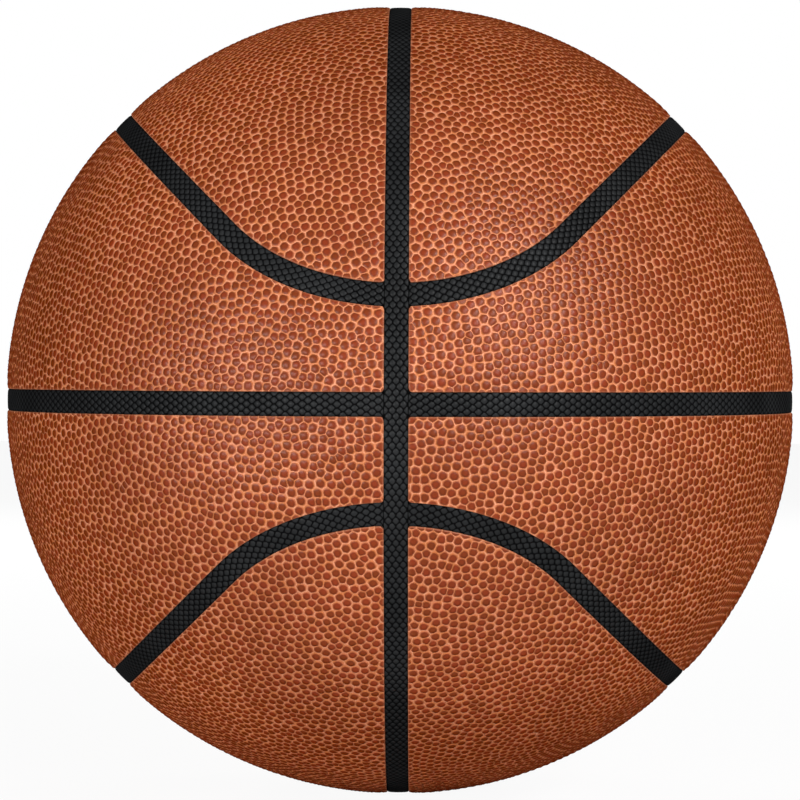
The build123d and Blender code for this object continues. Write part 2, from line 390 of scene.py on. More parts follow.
class Skin:
    """A closed skin over a chart: relief on top, a rolled rim, a wall down to the foot, and an underside.

    edge_distance gives the distance to the skin's border from places in the chart. A chart with a period is
    closed along its first direction.
    """

    def __init__(self, chart, edge_distance, rim, foot_radius, period=None):
        self.chart, self.edge_distance, self.period = chart, edge_distance, period
        self.rim, self.foot_radius = rim, foot_radius

    def slope(self, places):
        """Slope of the border distance along both directions of the chart, by central differences."""
        step = SNAP * np.eye(2)
        ahead = [self.edge_distance(places + s) - self.edge_distance(places - s) for s in step]
        return np.stack(ahead, -1) / (2 * SNAP)

    def moved_to(self, places, distance):
        """Places moved straight across the border to a given distance from it, by Newton's steps."""
        for _ in range(NEWTON_STEPS):
            slope = self.slope(places)
            lack = distance - self.edge_distance(places)
            places = places + slope * (lack / (slope ** 2).sum(-1))[:, None]
        return places

    def build(self, soup, filling, *marks):
        """Make all parts: places, ring values, drops below the surface, bake places and triangles."""
        inside = self.edge_distance(soup[..., :2]) - self.rim
        soup, *marks = clip(soup, np.where(np.abs(inside) < SNAP, 0, inside), *marks)
        corners, top, whole = weld(soup, self.period)
        self.marks = [mark[whole] for mark in marks]
        edges = border_edges(top)
        loop, ends = np.unique(edges, return_inverse=True)
        ends = ends.reshape(-1, 2)
        outer = corners[loop, :2]
        outward = -unit(self.slope(outer))
        places, drops, faces = [corners[:, :2]], [np.zeros(len(corners))], [top]
        spread, row, count = [corners[:, :2]], loop, len(corners)
        # Quarter-circle roll: at turn t the distance is rim (1 - sin t) and the drop is rim (1 - cos t). The
        # wall ends at the foot, whose drop is left open here.
        rolls = [(self.rim * (1 - sin(t)), self.rim * (1 - cos(t))) for t in np.radians(RIM_TURNS)]
        for distance, drop in rolls + [(0, np.inf)]:
            outer = self.moved_to(outer, distance)
            places.append(outer)
            drops.append(np.full(len(loop), drop))
            spread.append(outer + outward * min(drop, 2 * self.rim))
            a, b = row[ends].T
            row = count + np.arange(len(loop))
            c, d = row[ends].T
            faces += [np.stack([b, a, c], 1), np.stack([b, c, d], 1)]
            count += len(loop)
        places.append(filling)
        drops.append(np.full(len(filling), np.inf))
        spread.append(filling)
        self.top, self.under = len(top), sum(len(face) for face in faces)
        faces.append(self.underside(corners[loop, :2], ends, filling, row, count))
        ring = [corners[:, 2]] + [corners[loop, 2]] * (len(rolls) + 1) + [np.ones(len(filling))]
        self.places, self.drops, self.ring, self.spread, self.triangles = (
            np.concatenate(rows) for rows in (places, drops, ring, spread, faces))

    def underside(self, border, edges, filling, row, count):
        """Triangles between the foot's corners, facing inwards, found from the places of the relief's border.

        A closed chart is cut open where it starts: edges over the cut end at copies of the corners there.
        """
        index = np.concatenate([row, count + np.arange(len(filling))])
        places = np.concatenate([border, filling])
        if self.period:
            wraps = np.ptp(border[edges][..., 0], axis=1) > self.period / 2
            at_start = border[edges][..., 0] < self.period / 2
            seam = np.unique(edges[wraps[:, None] & at_start])
            copies = len(places) + np.arange(len(seam))
            copy_of = dict(zip(seam.tolist(), copies.tolist()))
            moved = [[copy_of.get(v, v) if w and s else v for v, s in zip(edge, start)]
                     for edge, w, start in zip(edges.tolist(), wraps, at_start)]
            edges = np.array(moved + [seam.tolist(), copies.tolist()])
            places = np.concatenate([places, places[seam] + np.array([self.period, 0])])
            index = np.concatenate([index, row[seam]])
        triangles = flat_triangles(places, edges.tolist())
        if not self.period:
            # The triangulation can close a hole, with triangles between corners round it.
            round_hole = np.append(hole_corners(border, edges), np.zeros(len(filling), bool))
            triangles = triangles[~round_hole[triangles].all(1)]
        return index[triangles][:, ::-1]

    def points(self, height):
        """Places carried onto the ball: the direction times the height, less the drop."""
        directions = self.chart.direction(self.places)
        edge = self.edge_distance(self.places)
        radius = height(edge, directions) - np.minimum(self.drops, BALL_RADIUS)
        radius = np.where(np.isinf(self.drops), self.foot_radius, radius)
        return directions * radius[:, None], edge, directions


def fitted(places, low, high):
    """Places scaled alike in both directions to lie within a box of the bake map, with a margin."""
    least, most = places.min((0, 1)), places.max((0, 1))
    scale = ((np.subtract(high, low) - 2 * BAKE_MARGIN) / (most - least)).min()
    return np.asarray(low) + BAKE_MARGIN + (places - least) * scale


def weighted_normals(points, triangles, weights):
    """A normal at each corner: the sum of its faces' normals, times their areas and weights."""
    first, second = (points[triangles[:, k]] - points[triangles[:, 0]] for k in (1, 2))
    facing = np.cross(first, second) * weights[:, None]
    sums = [np.bincount(triangles.ravel(), np.repeat(part, 3), len(points)) for part in facing.T]
    return unit(np.stack(sums, 1))


def mesh_object(name, points, triangles, uv, values, face_values, material, normals=None):
    """A mesh object of triangles, with its bake map and its named values on corners and faces."""
    mesh = bpy.data.meshes.new(name)
    mesh.vertices.add(len(points))
    mesh.vertices.foreach_set("co", points.astype(np.float32).ravel())
    mesh.loops.add(triangles.size)
    mesh.loops.foreach_set("vertex_index", triangles.astype(np.int32).ravel())
    mesh.polygons.add(len(triangles))
    mesh.polygons.foreach_set("loop_start", np.arange(0, triangles.size, 3, dtype=np.int32))
    mesh.polygons.foreach_set("use_smooth", np.ones(len(triangles), bool))
    mesh.update(calc_edges=True)
    for domain, named in (("POINT", values), ("FACE", face_values)):
        for key, value in named.items():
            mesh.attributes.new(key, "FLOAT", domain).data.foreach_set("value", value.astype(np.float32))
    mesh.uv_layers.new(name=BAKE_MAP).data.foreach_set("uv", uv.astype(np.float32).ravel())
    if normals is not None:
        mesh.normals_split_custom_set_from_vertices(normals.tolist())
    mesh.materials.append(material)
    found = bpy.data.objects.new(name, mesh)
    bpy.context.scene.collection.objects.link(found)
    return found


# Cover panels

def pebble_centres(row, side, chart, pitch, draw):
    """Even but irregular places for pebbles: a turned sunflower spiral, shaken and settled.

    Point i of n has height 1 - (2 i + 1) / n and turns by the golden angle. Each settling moves a point to
    the mean of the middles of the triangles round it, weighted by their areas.
    """
    count = int(4 * pi * BALL_RADIUS ** 2 / (pitch ** 2 * sqrt(3) / 2))
    height = 1 - (2 * np.arange(count) + 1) / count
    turn = GOLDEN_ANGLE * np.arange(count)
    flat = np.sqrt(1 - height ** 2)
    spiral = np.stack([flat * np.cos(turn), flat * np.sin(turn), height], 1)
    turned, _ = np.linalg.qr(draw.normal(size=(3, 3)))
    shake = draw.normal(size=(count, 3)) * PEBBLE_SHAKE * pitch / BALL_RADIUS
    shaken = unit(spiral @ turned + shake)
    inside = panel_edge_distance(shaken, row, side)
    places = chart.flat(shaken[inside > -PEBBLE_MARGIN * pitch])
    free = inside[inside > -PEBBLE_MARGIN * pitch] > -SETTLING_MARGIN * pitch
    for _ in range(SETTLINGS):
        triangles = flat_triangles(places)
        first, second = (places[triangles[:, k]] - places[triangles[:, 0]] for k in (1, 2))
        area = first[:, 0] * second[:, 1] - first[:, 1] * second[:, 0]
        shares = np.concatenate([places[triangles].mean(1) * area[:, None], area[:, None]], 1)
        along, across, area = (
            np.bincount(triangles.ravel(), np.repeat(part, 3), len(places)) for part in shares.T)
        places = np.where(free[:, None], np.stack([along / area, across / area], 1), places)
    return places


def panel_chart(row, side):
    """A chart whose centre is the middle of a panel, with its first direction to the back."""
    middle = SIDE_SEAM_ANGLE / 2 if row in ("upper", "lower") else (SIDE_SEAM_ANGLE + pi / 2) / 2
    return BallChart(np.array([SIDES[side] * cos(middle), 0, ROWS[row] * sin(middle)]), Y)


def panel_bake_map(skin):
    """The panel's front and back halves above each other, and its underside small in a corner."""
    corners = skin.chart.direction(skin.spread)[skin.triangles]
    back = corners[..., 1].mean(1) > 0
    under = np.arange(len(skin.triangles)) >= skin.under
    uv = np.empty(skin.triangles.shape + (2,))
    for half, end, low in ((~back & ~under, -Y, UNDER_BOX), (back & ~under, Y, (1 + UNDER_BOX) / 2)):
        centre = unit(skin.chart.centre + end)
        along = skin.chart.centre - end
        chart = BallChart(centre, unit(along - centre * (along @ centre)))
        uv[half] = fitted(chart.flat(corners[half]), (0, low), (1, low + (1 - UNDER_BOX) / 2))
    uv[under] = fitted(skin.places[skin.triangles[under]], (0, 0), (UNDER_BOX, UNDER_BOX))
    return uv


def cover_panel(row, side, sizes, material, seed):
    """One panel: a pebbled skin that sinks towards its edges like a pillow.

    The radius is the ball's, less the pillow's drop times (1 - distance / width)^2 near the edge, less the
    pebbles' height where the dome is low. Close to the edge the pebbles are pressed flat. The normals favour
    the pebbles' tops over their flanks.
    """
    draw = np.random.default_rng(seed)
    chart = panel_chart(row, side)

    def edge_distance(places):
        return panel_edge_distance(chart.direction(places), row, side)

    skin = Skin(chart, edge_distance, sizes.rim_round, COVER_INSIDE)
    centres = pebble_centres(row, side, chart, sizes.pebble_pitch, draw)
    triangles = flat_triangles(centres)
    ends = BALL_RADIUS * chart.direction(centres)[triangles]
    longest = lengths(ends - np.roll(ends, 1, 1)).max(1)
    triangles = triangles[longest < LONGEST_SIDE * sizes.pebble_pitch]
    disc = sizes.pebble_width / 2 * (1 + ((centres / (2 * BALL_RADIUS)) ** 2).sum(1))[triangles]

    def outline(way, k):
        """The share of a way to a cell's border where its pebble ends, between a circle's and the cell's."""
        share = (1 - CELL_SHAPED) * disc[:, k] / lengths(way) + CELL_SHAPED * CELL_SHARE
        return np.minimum(share, RAISED_LIMIT)[:, None]

    soup, owner = cell_relief(centres[triangles], outline)
    line = np.arange(-2 * BALL_RADIUS, 2 * BALL_RADIUS, UNDER_STEP)
    grid = np.stack(np.meshgrid(line, line), -1).reshape(-1, 2)
    grid = grid[skin.edge_distance(grid) > UNDER_STEP / 2]
    skin.build(soup, grid, triangles[:, owner].T.ravel())
    waves = draw.normal(size=(3, 3)) * PRESS_WAVES

    def pressed(edge, directions):
        """1 at the edge, fading over a width that wanders along the seam with three sine waves."""
        wander = np.sin(directions @ waves).mean(-1)
        return 1 - smooth(PRESSED_FULL, 1.0, edge / (sizes.pressed_width * (1 + wander / 2)))

    def height(edge, directions):
        """A dome falls to its shoulder with the square of the ring value, then straight to the groove."""
        flank = 2 * skin.ring - 1 + SHOULDER * (2 - 2 * skin.ring)
        dome = 1 - np.where(skin.ring > RAISED_EDGE, flank, SHOULDER * (2 * skin.ring) ** 2)
        press = pressed(edge, directions)
        dome = dome * (1 - press) + PRESSED_LEVEL * press
        pillow = sizes.pillow_drop * np.maximum(1 - np.maximum(edge, 0) / sizes.pillow_width, 0) ** 2
        return BALL_RADIUS - pillow - sizes.pebble_height * (1 - dome)

    points, edge, directions = skin.points(height)
    on_top = skin.ring[skin.triangles].max(1) < RAISED_EDGE + SNAP
    on_top[skin.top:] = False
    normals = weighted_normals(points, skin.triangles, np.where(on_top, 1, FLANK_WEIGHT))
    tones = draw.uniform(size=len(centres))[skin.marks[0]]
    tones = np.concatenate([tones, np.full(len(skin.triangles) - skin.top, PLAIN_TONE)])
    values = {"ring": skin.ring, "edge": edge / MM, "press": pressed(edge, directions)}
    found = mesh_object(f"pebbled_panel_{row}_{side}", points, skin.triangles, panel_bake_map(skin), values,
                        {"tone": tones}, material, normals)
    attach(found, "ball")
    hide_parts(f"cover_panel_{row}_{side}")


# Seam strips

def strip_bake_map(skin):
    """The strip cut into equal lengths, one row of the map each, and its whole underside in one more row."""
    length = skin.chart.length
    rows = int(np.ceil(length / STRIP_ROW_LENGTH))
    corners = skin.spread[skin.triangles]
    along, across = corners[..., 0], corners[..., 1]
    along = along + length * (along.max(1, keepdims=True) - along > length / 2)
    under = np.arange(len(skin.triangles)) >= skin.under
    part = along.mean(1) / length * rows
    row = np.where(under, rows, np.clip(np.floor(part), 0, rows - 1))[:, None]
    share = np.where(under[:, None], along / length, along / length * rows - row)
    width = np.abs(across).max() * 2
    high = (row + BAKE_MARGIN * rows + (across / width + 0.5) * (1 - 2 * BAKE_MARGIN * rows)) / (rows + 1)
    return np.stack([STRIP_ROW_START + (1 - 2 * STRIP_ROW_START) * share, high], -1)


def seam_strip(name, node, chart, sizes, material, mirror=(1, 1, 1), closed=False):
    """One strip: a ribbon of staggered scales along a seam.

    Scale centres lie in rows, every other row shifted by half a scale, so each has six neighbours. A scale's
    top is a rhombus: the length and width of a way to its edge, over half of the top's own, add up to 1. The
    radius is the strip's, less a crown that grows with the square of the width, less the scales' height in
    the grooves.
    """
    period = chart.length if closed else None
    count = round(chart.length / sizes.scale_pitch)
    pitch, step = chart.length / count, sizes.scale_row
    rows = 2 * int(STRIP_HALF / step / 2 + 2)
    along, row = np.meshgrid(np.arange(-2, count + 3), np.arange(-rows, rows))
    centre = np.stack([(along + row % 2 / 2) * pitch, row * step], -1).reshape(-1, 1, 1, 2)
    offsets = np.array([[[0, 0], [0.5, 1], [0, 2]], [[0, 0], [0, 2], [-0.5, 1]]]) * np.array([pitch, step])
    half = np.array([sizes.scale_length, sizes.scale_width]) / 2

    def outline(way, _):
        return np.minimum(1 / np.abs(way / half).sum(1, keepdims=True), RAISED_LIMIT)

    soup, _ = cell_relief((centre + offsets).reshape(-1, 3, 2), outline)
    if closed:
        soup, = clip(soup, soup[..., 0])
        soup, = clip(soup, period - soup[..., 0])

    def edge_distance(places):
        gaps = [STRIP_HALF - np.abs(places[..., 1])]
        if not closed:
            gaps.append(STRIP_RADIUS * chart.direction(places)[..., 0] - STRIP_BUTT)
        return rounded_least(gaps, sizes.strip_round)

    def height(edge, _):
        dome = SCALE_DOME * np.minimum(skin.ring / RAISED_EDGE, 1) ** 2
        groove = (1 - SCALE_DOME) * smooth(RAISED_EDGE, 1, skin.ring)
        scale = (1 - dome - groove) * smooth(0, SCALE_FADE, edge)
        crown = sizes.strip_crown * (skin.places[:, 1] / STRIP_HALF) ** 2
        return STRIP_RADIUS - crown - sizes.scale_height * (1 - scale)

    skin = Skin(chart, edge_distance, sizes.strip_round, STRIP_INSIDE, period)
    skin.build(soup, np.empty((0, 2)))
    points, edge, _ = skin.points(height)
    turn = 1 if np.prod(mirror) > 0 else -1
    triangles, uv = skin.triangles[:, ::turn], strip_bake_map(skin)[:, ::turn]
    values = {"ring": skin.ring, "edge": edge / MM}
    found = mesh_object(name, points * np.array(mirror), triangles, uv, values, {}, material)
    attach(found, "ball")
    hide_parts(node)


# Materials: where an effect starts and ends, on the ring value, on noise, or in millimetres from the edge

GLOSS_IOR = 2.4  # a coat that keeps its gloss to the lights, and gives little to the far edges
GLOSS_FADE = (0.12, 0.55)  # how far the surface has turned away
HUE_NOISE, HUE_SPREAD = (0.3, 0.7), 0.3
# Across these ring values each pebble's top gets a painted sheen and its shoulders painted shade.
TOP_RING = (0.15, 0.42)
TOP_PAINTED_SHEEN, SHOULDER_PAINTED_SHADE = (1.05, 1.06, 1.08), (0.86, 0.82, 0.78)
GROUND_NOISE = (0.35, 0.65)
# The palest lines are partly the web's own pale colour and partly a painted highlight, broken up by noise.
LINE_RING = (0.72, 0.98)
LINE_FINE_BREAKS = (0.35, 0.65, 0.35, 1.0)  # noise, then the lines' strength
LINE_LONG_BREAKS = (0.35, 0.6, 0.5, 1.0)
WEB_RING = (RAISED_EDGE - 0.14, RAISED_EDGE + 0.15)
WEB_ROUGHER, WEB_DULLER = 0.14, 3
PRESSED_SHARE = 0.35
# The pale cut edge is partly the leather's own cut colour and partly a painted highlight.
CUT_EDGE = (0.05, 0.4, 0.2, 0.0)  # distance, then the share of the palest colour
MOTTLE_NOISE = (0.3, 0.7)
MOTTLE_DARK, MOTTLE_PALE = (0.92, 0.9, 0.88), (1.07, 1.08, 1.09)
GRAIN_NOISE, GRAIN_ROUGHNESS, GRAIN_HEIGHT = (0.2, 0.8), 0.05, 0.1
FLANK_RING = (0.36, 0.7)
RUBBER_GROOVE = (0.3, 0.85)
BLOOM_NOISE, BLOOM_DARK, BLOOM_PALE = (0.3, 0.75), (0.8, 0.8, 0.8), (1.25, 1.25, 1.25)
RUBBER_UNEVEN = 0.08  # in the roughness
# The foam's pits are darkened with painted shade.
FOAM_PITS, FOAM_PIT_SHADE = (0.1, 0.55), 0.55
FOAM_ROUGHNESS, FOAM_DARK, FOAM_PALE = (0.85, 1.0), (0.9, 0.9, 0.9), (1.1, 1.1, 1.1)
THREAD_TURNS = ((0.0, 0.0, 0.0), (1.1, 0.4, 0.7), (0.5, 1.3, 2.1), (2.0, 0.9, 0.3))
# The gaps between threads are darkened with painted shade.
THREAD_BANDS, THREAD_GAP_SHADE = (0.5, 1.0), 0.5
THREAD_ROUGHNESS, THREAD_DARK, THREAD_PALE = (0.6, 0.85), (0.88, 0.88, 0.88), (1.12, 1.12, 1.12)


class Nodes:
    """Short words for building a node tree."""

    def __init__(self, tree):
        self.tree = tree

    def add(self, kind, settings=(), **sockets):
        """A node with its settings; a socket takes a value, or another node's output."""
        node = self.tree.nodes.new(kind)
        for key, value in dict(settings).items():
            setattr(node, key, value)
        for key, value in sockets.items():
            self.set(node, key.replace("_", " "), value)
        return node

    def set(self, node, key, value):
        socket = node.inputs[int(key)] if key.isdigit() else node.inputs[key]
        if isinstance(value, bpy.types.NodeSocket):
            self.tree.links.new(value, socket)
        else:
            socket.default_value = value

    def value(self, name):
        """A named value of the mesh."""
        return self.add("ShaderNodeAttribute", {"attribute_name": name}).outputs["Fac"]

    def ramp(self, value, low, high, to_low=0.0, to_high=1.0):
        """A smooth step from one value to another, while the given value goes from low to high."""
        node = self.add("ShaderNodeMapRange", {"interpolation_type": "SMOOTHSTEP"}, Value=value)
        for key, given in (("From Min", low), ("From Max", high), ("To Min", to_low), ("To Max", to_high)):
            self.set(node, key, given)
        return node.outputs["Result"]

    def math(self, operation, a, b):
        """A sum, product or the like of two values."""
        node = self.add("ShaderNodeMath", {"operation": operation})
        self.set(node, "0", a)
        self.set(node, "1", b)
        return node.outputs[0]

    def mix(self, share, a, b, blend="MIX"):
        """A mix of two colours."""
        node = self.add("ShaderNodeMix", {"data_type": "RGBA", "blend_type": blend})
        for place, value in ((0, share), (6, a), (7, b)):
            value = (*value, 1.0) if isinstance(value, (tuple, list)) and len(value) == 3 else value
            self.set(node, str(place), value)
        return node.outputs[2]

    def mixed_shader(self, share, a, b):
        node = self.add("ShaderNodeMixShader")
        for place, value in enumerate((share, a, b)):
            self.set(node, str(place), value)
        return node.outputs[0]

    def group(self, tree, **sockets):
        node = self.add("ShaderNodeGroup", {"node_tree": tree})
        for key, value in sockets.items():
            self.set(node, key, value)
        return node.outputs


def colour(value):
    """A colour setting as plain numbers."""
    return tuple(float(part) for part in value)


def fine_grain():
    """Shared effect: fine grain and slow mottling of a skin, both 0 to 1, over the part's own coordinates."""
    name = "fine_grain"
    if name in bpy.data.node_groups:
        return bpy.data.node_groups[name]
    tree = bpy.data.node_groups.new(name, "ShaderNodeTree")
    for label, default in (("Grain Scale", 1500.0), ("Mottle Scale", 30.0)):
        socket = tree.interface.new_socket(label, in_out="INPUT", socket_type="NodeSocketFloat")
        socket.default_value = default
    for label in ("Grain", "Mottle"):
        tree.interface.new_socket(label, in_out="OUTPUT", socket_type="NodeSocketFloat")
    make = Nodes(tree)
    given = make.add("NodeGroupInput").outputs
    place = make.add("ShaderNodeTexCoord").outputs["Object"]
    result = make.add("NodeGroupOutput")
    for label, detail, roughness in (("Grain", 3.0, 0.6), ("Mottle", 2.0, 0.5)):
        noise = make.add("ShaderNodeTexNoise", Vector=place, Scale=given[f"{label} Scale"], Detail=detail,
                         Roughness=roughness)
        make.set(result, label, noise.outputs[0])
    return tree


def grained(make, grain, mottle):
    """The shared effect with its two scales."""
    return make.group(fine_grain(), **{"Grain Scale": grain, "Mottle Scale": mottle})


def finish(name):
    """A new material with an empty Principled shader: the material, its nodes and the shader."""
    material = bpy.data.materials.new(name)
    material.use_nodes = True
    material.node_tree.nodes.clear()
    make = Nodes(material.node_tree)
    shader = make.add("ShaderNodeBsdfPrincipled")
    make.add("ShaderNodeOutputMaterial", Surface=shader.outputs[0])
    return material, make, shader


def dull(make, shader, gloss, roughness):
    """No gloss of its own, and a thin coat that fades where the surface turns away."""
    make.set(shader, "Coat Weight", fading_gloss(make, gloss))
    make.set(shader, "Coat Roughness", roughness)
    make.set(shader, "Coat IOR", GLOSS_IOR)
    make.set(shader, "Specular IOR Level", 0.0)


def bumped(make, shader, height, distance, strength):
    """Fine relief on the surface, this high where the height is 1."""
    bump = make.add("ShaderNodeBump", Height=height, Distance=distance, Strength=strength)
    make.set(shader, "Normal", bump.outputs[0])


def fading_gloss(make, gloss):
    """A coat's weight that fades out where the surface turns away, as the gloss of dull skins does."""
    facing = make.add("ShaderNodeLayerWeight", Blend=0.5).outputs["Facing"]
    return make.math("MULTIPLY", gloss, make.ramp(facing, *GLOSS_FADE, 1.0, 0.0))


def pebbled_leather(look):
    """Dark pebbles of two hues on a paler ground with the palest lines, which are partly a painted highlight.
    Each pebble's top has a painted sheen and its shoulders painted shade.

    Beside the seams it is plainer, with a pale cut edge that is partly a painted highlight.
    """
    material, make, shader = finish("pebbled_leather")
    skin = grained(make, grain=1100.0, mottle=26.0)
    hues = grained(make, grain=420.0, mottle=60.0)
    ring = make.value("ring")
    tone = make.math("ADD", make.value("tone"), make.ramp(hues["Grain"], *HUE_NOISE, -HUE_SPREAD, HUE_SPREAD))
    pebble = make.mix(tone, colour(look.pebble_colour), colour(look.pebble_second))
    # Painted sheen on each pebble's top and painted shade on its shoulders.
    painted_sheen_and_shade = make.mix(make.ramp(ring, *TOP_RING), TOP_PAINTED_SHEEN, SHOULDER_PAINTED_SHADE)
    pebble = make.mix(1.0, pebble, painted_sheen_and_shade, "MULTIPLY")
    second = make.ramp(hues["Grain"], *GROUND_NOISE)
    ground = make.mix(second, colour(look.ground_colour), colour(look.ground_second))
    # The palest lines: partly the web's own pale colour, partly a painted highlight broken up by noise.
    broken = make.math("MULTIPLY", make.ramp(skin["Grain"], *LINE_FINE_BREAKS),
                       make.ramp(hues["Grain"], *LINE_LONG_BREAKS))
    lines = make.math("MULTIPLY", make.ramp(ring, *LINE_RING), broken)
    ground = make.mix(lines, ground, colour(look.line_colour))
    web = make.ramp(ring, *WEB_RING)
    plain = make.mix(web, pebble, ground)
    pressed = make.math("MULTIPLY", make.value("press"), PRESSED_SHARE)
    plain = make.mix(pressed, plain, colour(look.pressed_colour))
    # Pale cut edge: partly the leather's own cut colour, partly a painted highlight.
    plain = make.mix(make.ramp(make.value("edge"), *CUT_EDGE), plain, colour(look.line_colour))
    shade = make.mix(make.ramp(skin["Mottle"], *MOTTLE_NOISE), MOTTLE_DARK, MOTTLE_PALE)
    make.set(shader, "Base Color", make.mix(1.0, plain, shade, "MULTIPLY"))
    rough = make.ramp(web, 0, 1, look.roughness, look.roughness + WEB_ROUGHER)
    uneven = make.ramp(skin["Grain"], *GRAIN_NOISE, -GRAIN_ROUGHNESS, GRAIN_ROUGHNESS)
    make.set(shader, "Roughness", make.math("ADD", rough, uneven))
    dull(make, shader, make.ramp(web, 0, 1, look.gloss, look.gloss / WEB_DULLER), look.gloss_roughness)
    flank = make.ramp(ring, *FLANK_RING, 1.0, 0.0)
    grain = make.math("MULTIPLY", skin["Grain"], GRAIN_HEIGHT)
    bumped(make, shader, make.math("ADD", flank, grain), 0.3 * MM, strength=1.0)
    return material


def rubber(name, base, raised=None, roughness=0.5, gloss=0.035, grain=1600.0):
    """Moulded rubber with a faint bloom; raised gives the colour of the tops, paler than the grooves, whose
    darkness is painted shade.
    """
    material, make, shader = finish(name)
    skin = grained(make, grain, mottle=45.0)
    plain = colour(base)
    if raised is not None:
        # Painted shade: the grooves between the raised tops take the darker base colour, and lose their
        # gloss.
        groove = make.ramp(make.value("ring"), *RUBBER_GROOVE)
        plain = make.mix(groove, colour(raised), plain)
        gloss = make.ramp(groove, 0, 1, gloss, 0.0)
    bloom = make.mix(make.ramp(skin["Mottle"], *BLOOM_NOISE), BLOOM_DARK, BLOOM_PALE)
    make.set(shader, "Base Color", make.mix(1.0, plain, bloom, "MULTIPLY"))
    uneven = make.ramp(skin["Grain"], *GRAIN_NOISE, roughness - RUBBER_UNEVEN, roughness + RUBBER_UNEVEN)
    make.set(shader, "Roughness", uneven)
    dull(make, shader, gloss, roughness=0.3)
    bumped(make, shader, skin["Grain"], 0.05 * MM, strength=0.5)
    return material


def sponge(base):
    """Open-celled foam: round cells as pits, dark with painted shade."""
    material, make, shader = finish("sponge_backing")
    skin = grained(make, grain=900.0, mottle=60.0)
    place = make.add("ShaderNodeTexCoord").outputs["Object"]
    cells = make.add("ShaderNodeTexVoronoi", Vector=place, Scale=1400.0)
    pits = make.ramp(cells.outputs["Distance"], *FOAM_PITS)
    pale = colour(base)
    # Painted shade in the pits.
    plain = make.mix(pits, tuple(FOAM_PIT_SHADE * part for part in pale), pale)
    shade = make.mix(skin["Mottle"], FOAM_DARK, FOAM_PALE)
    make.set(shader, "Base Color", make.mix(1.0, plain, shade, "MULTIPLY"))
    make.set(shader, "Roughness", make.ramp(skin["Grain"], 0, 1, *FOAM_ROUGHNESS))
    bumped(make, shader, pits, 0.3 * MM, strength=0.8)
    return material


def wound_thread(base):
    """Thread laid round the ball in several directions: bands across turned axes, the highest on top."""
    material, make, shader = finish("wound_thread")
    skin = grained(make, grain=2500.0, mottle=40.0)
    place = make.add("ShaderNodeTexCoord").outputs["Object"]
    height = None
    for turn in THREAD_TURNS:
        turned = make.add("ShaderNodeMapping", Vector=place, Rotation=turn).outputs[0]
        bands = make.add("ShaderNodeTexWave", {"wave_profile": "SIN"}, Vector=turned, Scale=400.0,
                         Distortion=1.5, Detail_Scale=30.0).outputs["Fac"]
        height = bands if height is None else make.math("MAXIMUM", height, bands)
    pale = colour(base)
    gap = tuple(THREAD_GAP_SHADE * part for part in pale)
    # Painted shade in the gaps between threads.
    plain = make.mix(make.ramp(height, *THREAD_BANDS), gap, pale)
    shade = make.mix(skin["Mottle"], THREAD_DARK, THREAD_PALE)
    make.set(shader, "Base Color", make.mix(1.0, plain, shade, "MULTIPLY"))
    make.set(shader, "Roughness", make.ramp(skin["Grain"], 0, 1, *THREAD_ROUGHNESS))
    bumped(make, shader, height, 0.3 * MM, strength=0.8)
    return material


def dress(node, material):
    """Give a node of the frame its finish."""
    mesh = frame["nodes"][node].data
    mesh.materials.clear()
    mesh.materials.append(material)


# Settings

def number(name, description, default, **kind):
    return bpy.props.FloatProperty(name=name, description=description, default=default, **kind)


def size(name, description, millimetres):
    return number(name, description, millimetres * MM, subtype="DISTANCE", unit="LENGTH")


def angle(name, description, degrees):
    return number(name, description, radians(degrees), subtype="ANGLE", unit="ROTATION")


def factor(name, description, default):
    return number(name, description, default, subtype="FACTOR", min=0, max=1)


def power(name, description, watts):
    return number(name, description, watts, unit="POWER")


def tint(name, description, *shown):
    """A colour, given as it shows on a screen."""
    return bpy.props.FloatVectorProperty(
        name=name, description=description, default=srgb(*shown), subtype="COLOR", min=0, max=1)


class PanelSettings(bpy.types.PropertyGroup):
    """Sizes and colours of the cover panels."""

    pebble_pitch: size("Pebble pitch", "From one pebble to the next", 2.62)
    pebble_width: size("Pebble width", "Width of a pebble's round top", 2.14)
    pebble_height: size("Pebble height", "From the grooves to the pebbles' tops", 0.56)
    pillow_drop: size("Pillow drop", "How far a panel sinks at its edge", 0.3)
    pillow_width: size("Pillow width", "How far from its edge a panel starts to sink", 7)
    pressed_width: size("Pressed width", "Width of the band at the edge where pebbles are pressed flat", 0.8)
    rim_round: size("Rim round", "Radius of a panel's rolled rim", 0.32)
    pebble_colour: tint("Pebble", "Colour of the brownest pebbles", 128, 52, 12)
    pebble_second: tint("Second pebble", "Colour of the reddest pebbles", 144, 54, 20)
    ground_colour: tint("Ground", "Colour between the pebbles", 214, 124, 72)
    ground_second: tint("Second ground", "The other colour between the pebbles", 218, 127, 88)
    # Partly a painted highlight, on the lines and on the cut edges.
    line_colour: tint("Lines", "Colour of the palest lines and of the cut edges", 250, 182, 144)
    pressed_colour: tint("Pressed band", "Colour beside the seams, where pebbles are flat", 176, 92, 58)
    roughness: factor("Roughness", "Roughness of the pebbles' tops", 0.4)
    gloss: factor("Gloss", "Weight of the thin clear coat on the pebbles", 0.095)
    gloss_roughness: factor("Gloss roughness", "Roughness of the clear coat", 0.3)


